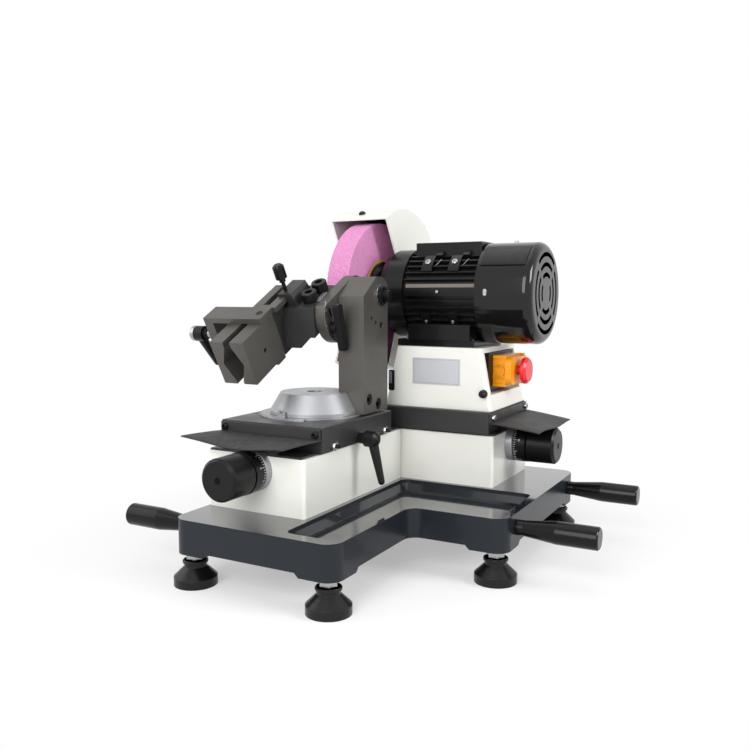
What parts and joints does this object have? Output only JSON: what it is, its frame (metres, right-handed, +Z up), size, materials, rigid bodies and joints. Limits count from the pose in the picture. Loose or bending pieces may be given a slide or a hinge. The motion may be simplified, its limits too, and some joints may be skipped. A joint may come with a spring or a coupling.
{
  "type": "drill bit sharpener",
  "caption": "Bench drill bit sharpener: tilting vee clamp head on a cross slide facing a guarded grinding wheel driven by a finned motor on a second slide.",
  "frame": {"origin": "centre of the bounding box at floor level", "axes": "+X along the motor axis towards the fan cover, +Y towards the wheel guard, +Z up"},
  "size_m": [0.638, 0.6329, 0.547],
  "materials": {
    "slate_paint": "gloss enamel on cast iron",
    "black_rubber": "satin moulded rubber",
    "zinc_steel": "bright turned steel",
    "cream_paint": "gloss enamel",
    "blackened_steel": "ground and blackened steel",
    "ground_steel": "ground steel",
    "satin_aluminium": "satin turned aluminium",
    "black_plastic": "satin moulded plastic",
    "bronze": "machined bronze",
    "black_paint": "satin enamel",
    "pink_abrasive": "bonded pink alumina",
    "yellow_plastic": "gloss moulded plastic",
    "red_plastic": "gloss moulded plastic",
    "green_plastic": "gloss moulded plastic"
  },
  "bodies": {
    "frame": {"base_casting": "slate_paint", "foot_pads": "black_rubber", "foot_studs": "zinc_steel", "lift_grips": "black_rubber", "left_pedestal": "cream_paint", "right_pedestal": "cream_paint", "way_plates": "blackened_steel", "knob_flanges": "satin_aluminium"},
    "left_feed": {"left_leadscrew": "ground_steel", "left_dial": "black_plastic", "left_knob": "black_plastic"},
    "left_slide": {"left_slide": "blackened_steel", "left_end_strip": "blackened_steel", "left_flap": "black_rubber", "left_feed_nut": "bronze", "swivel_scale_ring": "satin_aluminium"},
    "left_lock": {"left_lock_lever": "black_plastic"},
    "swivel": {"swivel_cone": "satin_aluminium", "column": "blackened_steel", "head_bolts": "blackened_steel", "pivot_bush": "zinc_steel"},
    "arm": {"swing_arm": "blackened_steel", "pivot_shaft": "blackened_steel"},
    "arm_lever": {"lug_lever": "black_plastic"},
    "holder": {"holder_block": "blackened_steel", "holder_cap_screws": "blackened_steel"},
    "thumb": {"thumb_screw": "black_plastic"},
    "clamp": {"fixed_jaw": "blackened_steel", "jaw_yoke": "blackened_steel", "guide_rail": "blackened_steel"},
    "jaw": {"moving_jaw": "blackened_steel"},
    "clamp_handle": {"clamp_screw": "zinc_steel", "clamp_lever": "black_plastic"},
    "right_feed": {"right_leadscrew": "ground_steel", "right_dial": "black_plastic", "right_knob": "black_plastic"},
    "right_slide": {"right_slide": "blackened_steel", "right_end_strip": "blackened_steel", "right_flap": "black_rubber", "right_feed_nut": "bronze", "motor_stand": "cream_paint", "motor_plate": "black_paint", "motor_frame": "black_paint", "motor_end_shield": "black_paint", "motor_bearings": "zinc_steel", "stator_core": "ground_steel", "fan_cover": "black_paint", "wheel_guard": "cream_paint", "switch_back_box": "black_plastic", "switch_housing": "yellow_plastic", "cable_gland": "black_plastic"},
    "rotor": {"motor_shaft": "zinc_steel", "rotor_core": "ground_steel", "wheel_flanges": "black_paint", "grinding_wheel": "pink_abrasive", "spindle_nut": "zinc_steel", "cooling_fan": "black_plastic"},
    "switch_cover": {"switch_flap": "yellow_plastic"},
    "stop": {"stop_button": "red_plastic"},
    "start": {"start_button": "green_plastic"}
  },
  "joints": [
    {"name": "left_feed_turn", "type": "hinge", "parent": "frame", "child": "left_feed", "pos_m": [-0.1195, -0.2305, 0.156], "axis": [0, 1, 0], "range_deg": [-2162, 1802]},
    {"name": "left_slide_travel", "type": "slide", "parent": "frame", "child": "left_slide", "axis": [0, 1, 0], "range_m": [-0.03, 0.025]},
    {"name": "left_lock_turn", "type": "hinge", "parent": "left_slide", "child": "left_lock", "pos_m": [-0.0302, -0.0905, 0.186], "axis": [1, 0, 0], "range_deg": [-30, 45]},
    {"name": "swivel_turn", "type": "hinge", "parent": "left_slide", "child": "swivel", "pos_m": [-0.1195, -0.0755, 0.2173], "axis": [0, 0, 1], "range_deg": [-40, 8]},
    {"name": "arm_swing", "type": "hinge", "parent": "swivel", "child": "arm", "pos_m": [-0.089, -0.0125, 0.3973], "axis": [1, 0, 0], "range_deg": [-35, 3]},
    {"name": "arm_lever_turn", "type": "hinge", "parent": "arm", "child": "arm_lever", "pos_m": [-0.077, -0.08656, 0.34939], "axis": [1, 0, 0], "range_deg": [-25, 0]},
    {"name": "holder_turn", "type": "hinge", "parent": "arm", "child": "holder", "pos_m": [-0.098, -0.05973, 0.37112], "axis": [1, 0, 0], "range_deg": [-12, 12]},
    {"name": "thumb_turn", "type": "hinge", "parent": "holder", "child": "thumb", "pos_m": [-0.1528, -0.07897, 0.36045], "axis": [0, -0.4848, 0.8746], "continuous": true},
    {"name": "clamp_travel", "type": "slide", "parent": "holder", "child": "clamp", "axis": [0, 0.8746, 0.4848], "range_m": [-0.02, 0]},
    {"name": "jaw_travel", "type": "slide", "parent": "clamp", "child": "jaw", "axis": [1, 0, 0], "range_m": [-0.01, 0.006]},
    {"name": "clamp_handle_turn", "type": "hinge", "parent": "jaw", "child": "clamp_handle", "pos_m": [-0.286, -0.1369, 0.33749], "axis": [1, 0, 0], "range_deg": [-1802, 1082]},
    {"name": "right_feed_turn", "type": "hinge", "parent": "frame", "child": "right_feed", "pos_m": [0.123, 0.143, 0.156], "axis": [1, 0, 0], "range_deg": [-4322, 362]},
    {"name": "right_slide_travel", "type": "slide", "parent": "frame", "child": "right_slide", "axis": [1, 0, 0], "range_m": [-0.06, 0.005]},
    {"name": "rotor_spin", "type": "hinge", "parent": "right_slide", "child": "rotor", "pos_m": [-0.037, 0.143, 0.4], "axis": [1, 0, 0], "continuous": true},
    {"name": "switch_cover_swing", "type": "hinge", "parent": "right_slide", "child": "switch_cover", "pos_m": [0.1248, 0.1915, 0.2745], "axis": [0, 0, 1], "range_deg": [0, 100]},
    {"name": "stop_press", "type": "slide", "parent": "switch_cover", "child": "stop", "axis": [1, 0, 0], "range_m": [-0.004, 0], "stiffness_N_per_m": 800},
    {"name": "start_press", "type": "slide", "parent": "right_slide", "child": "start", "axis": [1, 0, 0], "range_m": [-0.003, 0], "stiffness_N_per_m": 800}
  ],
  "couplings": [
    {"joint": "left_feed_turn", "follows": "left_slide_travel", "rad_per_m": 1256.6},
    {"joint": "right_feed_turn", "follows": "right_slide_travel", "rad_per_m": 1256.6},
    {"joint": "clamp_handle_turn", "follows": "jaw_travel", "rad_per_m": 3141.6}
  ]
}
